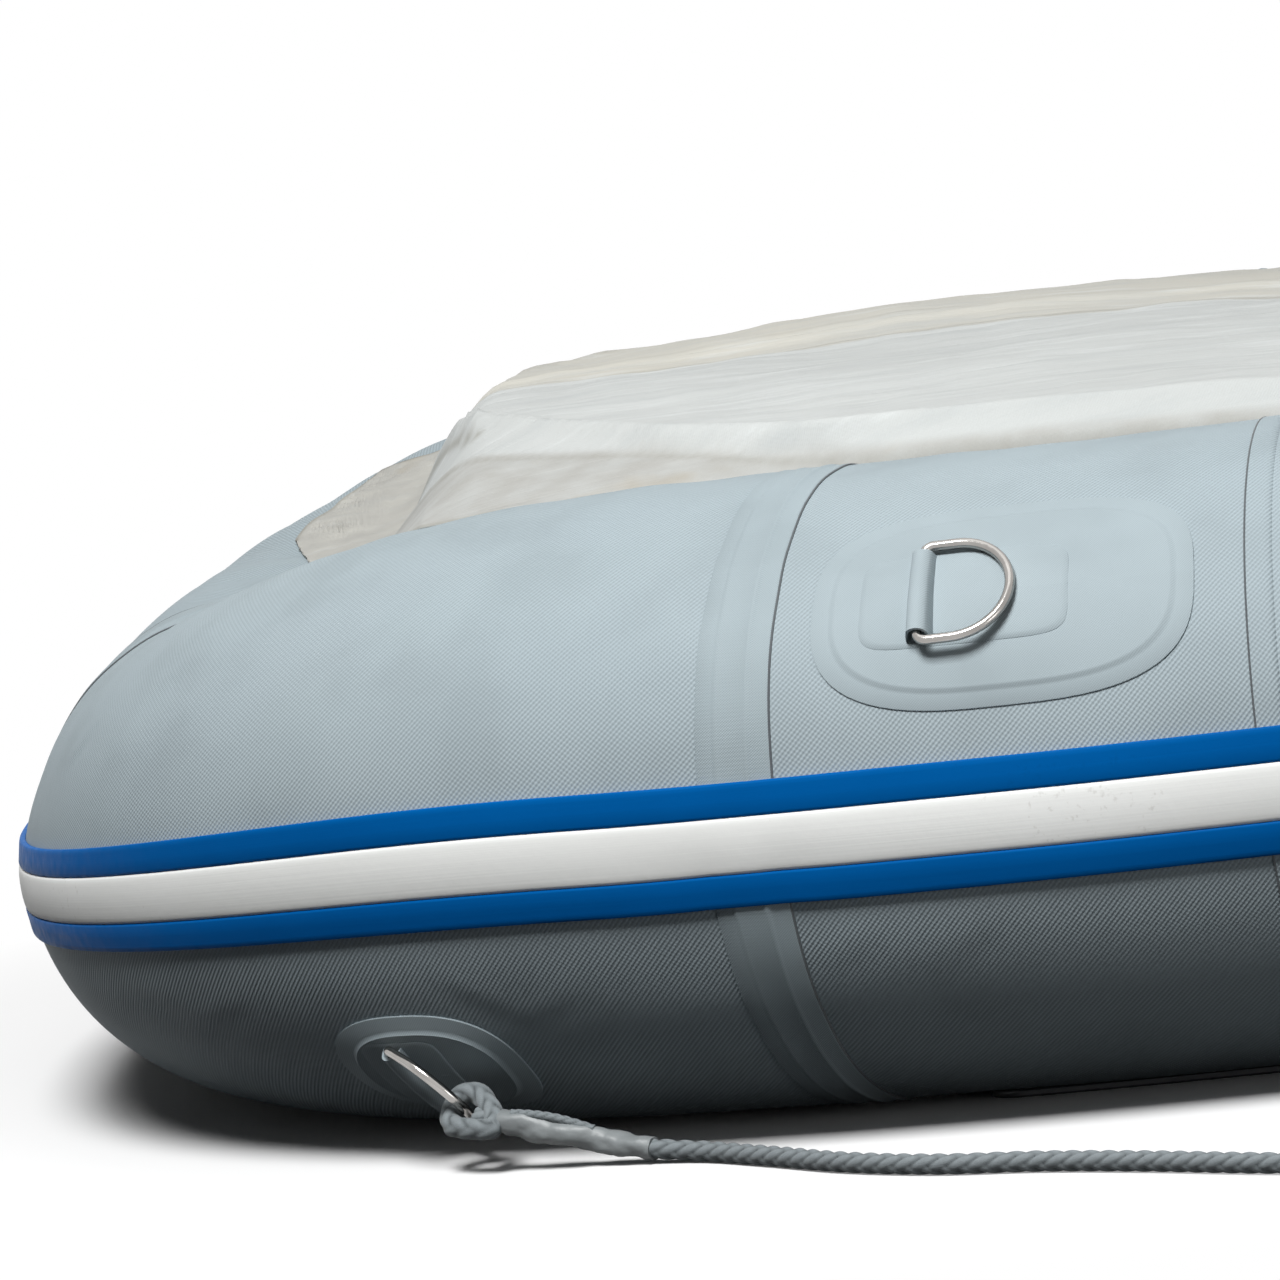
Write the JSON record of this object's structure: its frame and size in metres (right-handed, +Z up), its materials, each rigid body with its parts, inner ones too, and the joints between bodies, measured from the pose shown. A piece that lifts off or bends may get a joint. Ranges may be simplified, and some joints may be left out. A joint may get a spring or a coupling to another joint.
{
  "type": "inflatable tender",
  "caption": "Small inflatable tender with a U-shaped air tube, rubbing strake, D-rings, bow cover, bench, transom, oars in rowlocks and a painter.",
  "frame": {"origin": "on the ground under the middle of the boat's length and beam", "axes": "+X towards the bow, +Y to port, +Z up"},
  "size_m": [2.6652, 1.7694, 0.5473],
  "materials": {
    "tube_fabric": "light grey coated fabric, satin, with a fine diagonal weave",
    "tape_fabric": "light grey coated seam tape, satin",
    "strake_blue": "blue extrusion, semi-gloss",
    "strake_white": "off-white extrusion, semi-gloss",
    "steel": "polished stainless rod",
    "cover_cloth": "off-white coated cloth, matt",
    "floor_fabric": "mid grey coated fabric",
    "board": "plywood sealed with grey paint",
    "rubber": "black rubber, matt",
    "grey_plastic": "moulded grey plastic",
    "black_plastic": "moulded black plastic",
    "aluminium": "anodised tube",
    "rope": "grey and white braided rope"
  },
  "bodies": {
    "boat": {"air_floor": "floor_fabric", "baffle_port": "tape_fabric", "baffle_starboard": "tape_fabric", "bench_seat": "board", "bow_cover": "cover_cloth", "bow_seam_tape": "tape_fabric", "bow_tube_port": "tube_fabric", "bow_tube_starboard": "tube_fabric", "floor_skin": "floor_fabric", "motor_pad": "black_plastic", "painter_coil": "rope", "painter_rope": "rope", "painter_splice": "rope", "rowlock_base_port": "rubber", "rowlock_base_starboard": "rubber", "seat_holder_port": "rubber", "seat_holder_starboard": "rubber", "shoulder_tape_port": "tape_fabric", "shoulder_tape_starboard": "tape_fabric", "side_ring_patch_port": "tube_fabric", "side_ring_patch_starboard": "tube_fabric", "side_ring_strap_port": "tube_fabric", "side_ring_strap_starboard": "tube_fabric", "side_tube_port": "tube_fabric", "side_tube_starboard": "tube_fabric", "stern_cone_port": "tube_fabric", "stern_cone_starboard": "tube_fabric", "strake_base": "strake_blue", "strake_insert": "strake_white", "tow_ring_patch_port": "tube_fabric", "tow_ring_patch_starboard": "tube_fabric", "tow_ring_strap_port": "tube_fabric", "tow_ring_strap_starboard": "tube_fabric", "transom_board": "board", "transom_holder_port": "rubber", "transom_holder_starboard": "rubber", "valve_body_bow": "black_plastic", "valve_body_port": "black_plastic", "valve_body_starboard": "black_plastic", "wear_strip_port": "rubber", "wear_strip_starboard": "rubber"},
    "side_ring_port": {"side_ring_port": "steel"},
    "side_ring_starboard": {"side_ring_starboard": "steel"},
    "tow_ring_port": {"tow_ring_port": "steel"},
    "tow_ring_starboard": {"tow_ring_starboard": "steel"},
    "drain_plug": {"drain_plug": "black_plastic"},
    "rowlock_port": {"rowlock_swivel_port": "black_plastic"},
    "rowlock_starboard": {"rowlock_swivel_starboard": "black_plastic"},
    "oar_port": {"oar_shaft_port": "aluminium", "oar_blade_port": "grey_plastic", "oar_grip_port": "rubber"},
    "oar_starboard": {"oar_shaft_starboard": "aluminium", "oar_blade_starboard": "grey_plastic", "oar_grip_starboard": "rubber"},
    "valve_cap_bow": {"valve_cap_bow": "black_plastic"},
    "valve_cap_port": {"valve_cap_port": "black_plastic"},
    "valve_cap_starboard": {"valve_cap_starboard": "black_plastic"},
    "valve_pin_bow": {"valve_pin_bow": "grey_plastic"},
    "valve_pin_port": {"valve_pin_port": "grey_plastic"},
    "valve_pin_starboard": {"valve_pin_starboard": "grey_plastic"}
  },
  "joints": [
    {"name": "side_ring_port_swing", "type": "hinge", "parent": "boat", "child": "side_ring_port", "pos_m": [0.70022, 0.65968, 0.3202], "axis": [0.1503, 0.6905, -0.7076], "range_deg": [0, 165]},
    {"name": "side_ring_starboard_swing", "type": "hinge", "parent": "boat", "child": "side_ring_starboard", "pos_m": [0.70022, -0.65968, 0.3202], "axis": [-0.1503, 0.6905, 0.7076], "range_deg": [0, 165]},
    {"name": "tow_ring_port_swing", "type": "hinge", "parent": "boat", "child": "tow_ring_port", "pos_m": [1.0442, 0.49826, 0.05218], "axis": [-0.4528, -0.5415, -0.7084], "range_deg": [-1.5, 1.5]},
    {"name": "tow_ring_starboard_swing", "type": "hinge", "parent": "boat", "child": "tow_ring_starboard", "pos_m": [1.0442, -0.49826, 0.05218], "axis": [0.4528, -0.5415, 0.7084], "range_deg": [-80, 80]},
    {"name": "drain_plug_pull", "type": "slide", "parent": "boat", "child": "drain_plug", "axis": [-1, 0, 0], "range_m": [0, 0.05]},
    {"name": "rowlock_port_swing", "type": "hinge", "parent": "boat", "child": "rowlock_port", "pos_m": [-0.09259, 0.57, 0.38185], "axis": [0, 0, -1], "range_deg": [-10, 120]},
    {"name": "oar_port_dip", "type": "hinge", "parent": "rowlock_port", "child": "oar_port", "pos_m": [-0.09259, 0.57, 0.46485], "axis": [0, 1, 0], "range_deg": [0, 8]},
    {"name": "rowlock_starboard_swing", "type": "hinge", "parent": "boat", "child": "rowlock_starboard", "pos_m": [-0.09259, -0.57, 0.38185], "axis": [0, 0, 1], "range_deg": [-10, 120]},
    {"name": "oar_starboard_dip", "type": "hinge", "parent": "rowlock_starboard", "child": "oar_starboard", "pos_m": [-0.09259, -0.57, 0.46485], "axis": [0, 1, 0], "range_deg": [0, 8]},
    {"name": "valve_cap_bow_turn", "type": "hinge", "parent": "boat", "child": "valve_cap_bow", "pos_m": [0.78748, 0.32221, 0.31484], "axis": [-0.2608, -0.6577, 0.7066], "range_deg": [0, 90]},
    {"name": "valve_pin_bow_push", "type": "slide", "parent": "boat", "child": "valve_pin_bow", "axis": [-0.2608, -0.6577, 0.7066], "range_m": [-0.004, 0], "stiffness_N_per_m": 500, "springref_m": 0.002},
    {"name": "valve_cap_port_turn", "type": "hinge", "parent": "boat", "child": "valve_cap_port", "pos_m": [-0.67149, 0.42515, 0.31502], "axis": [0, -0.7071, 0.7071], "range_deg": [0, 90]},
    {"name": "valve_pin_port_push", "type": "slide", "parent": "boat", "child": "valve_pin_port", "axis": [0, -0.7071, 0.7071], "range_m": [-0.004, 0], "stiffness_N_per_m": 500, "springref_m": 0.002},
    {"name": "valve_cap_starboard_turn", "type": "hinge", "parent": "boat", "child": "valve_cap_starboard", "pos_m": [-0.67149, -0.42515, 0.31502], "axis": [0, 0.7071, 0.7071], "range_deg": [0, 90]},
    {"name": "valve_pin_starboard_push", "type": "slide", "parent": "boat", "child": "valve_pin_starboard", "axis": [0, 0.7071, 0.7071], "range_m": [-0.004, 0], "stiffness_N_per_m": 500, "springref_m": 0.002}
  ]
}
